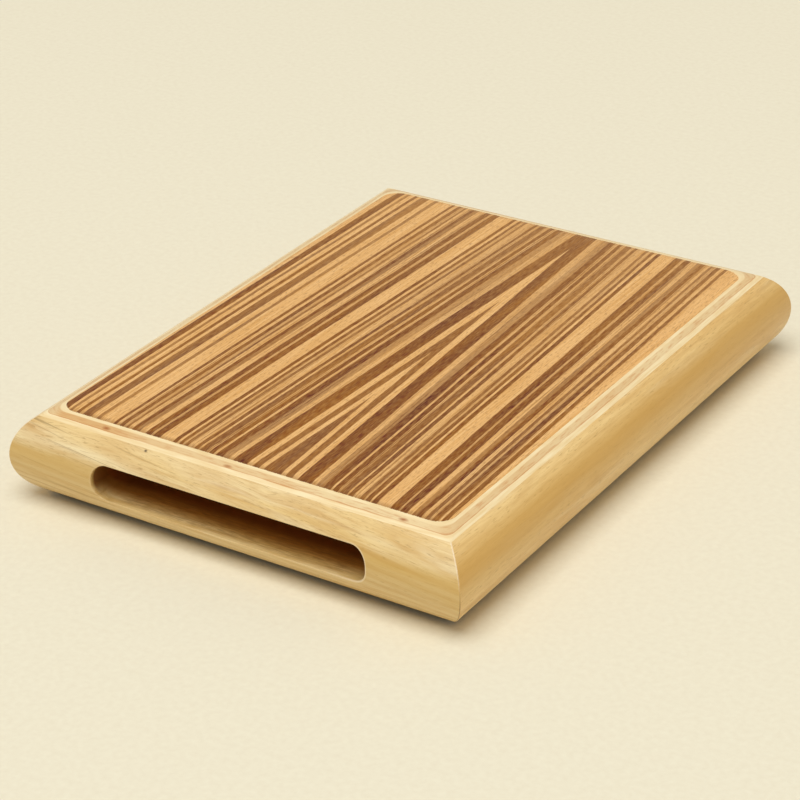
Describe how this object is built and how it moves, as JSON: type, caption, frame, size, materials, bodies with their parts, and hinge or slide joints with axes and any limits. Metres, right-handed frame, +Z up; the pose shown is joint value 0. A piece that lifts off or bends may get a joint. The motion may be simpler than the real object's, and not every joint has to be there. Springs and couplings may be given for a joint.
{
  "type": "lap cajon",
  "caption": "Flat box drum for the lap: zebrano playing board on mitred half-round rails, sound slot in the front end, snare strings inside with tension screws at the rear.",
  "frame": {"origin": "middle of the underside, on the surface that the drum lies on", "axes": "+X along the slotted front end, +Y from the slotted end to the rear, +Z up through the playing board"},
  "size_m": [0.24, 0.31, 0.045],
  "materials": {
    "zebrano": "striped veneer, satin lacquer",
    "plywood": "three plies, sanded and lacquered edge",
    "back_plywood": "three plies, stained dark brown, matt",
    "rail_wood": "pale golden solid wood, satin lacquer",
    "inner_wood": "planed hardwood, unfinished",
    "steel": "bright zinc plate and plain string wire",
    "brass": "sawn and drilled"
  },
  "bodies": {
    "box": {"tapa_veneer": "zebrano", "tapa_panel": "plywood", "back_panel": "back_plywood", "front_rail": "rail_wood", "right_rail": "rail_wood", "rear_rail": "rail_wood", "left_rail": "rail_wood", "mitre_spline_front_left": "inner_wood", "mitre_spline_front_right": "inner_wood", "mitre_spline_rear_left": "inner_wood", "mitre_spline_rear_right": "inner_wood", "front_anchor": "inner_wood", "snare_bar": "inner_wood", "snare_string_1": "steel", "snare_string_2": "steel", "snare_string_3": "steel", "snare_string_4": "steel", "string_stop_1": "brass", "string_stop_2": "brass", "string_stop_3": "brass", "string_stop_4": "brass", "screw_washer_left": "steel", "screw_washer_right": "steel"},
    "left_block": {"tension_block_left": "brass"},
    "right_block": {"tension_block_right": "brass"},
    "left_screw": {"tension_screw_left": "steel"},
    "right_screw": {"tension_screw_right": "steel"}
  },
  "joints": [
    {"name": "left_block_pull", "type": "slide", "parent": "box", "child": "left_block", "axis": [0, 1, 0], "range_m": [-0.0016, 0.0024], "deforming": ["snare_string_1", "snare_string_2"]},
    {"name": "right_block_pull", "type": "slide", "parent": "box", "child": "right_block", "axis": [0, 1, 0], "range_m": [-0.0016, 0.0024], "deforming": ["snare_string_3", "snare_string_4"]},
    {"name": "left_screw_turn", "type": "hinge", "parent": "box", "child": "left_screw", "pos_m": [-0.04, 0.1491, 0.0225], "axis": [0, -1, 0], "range_deg": [-720, 1080]},
    {"name": "right_screw_turn", "type": "hinge", "parent": "box", "child": "right_screw", "pos_m": [0.04, 0.1491, 0.0225], "axis": [0, -1, 0], "range_deg": [-720, 1080]}
  ],
  "couplings": [
    {"joint": "left_screw_turn", "follows": "left_block_pull", "rad_per_m": 7853.9},
    {"joint": "right_screw_turn", "follows": "right_block_pull", "rad_per_m": 7853.9}
  ]
}
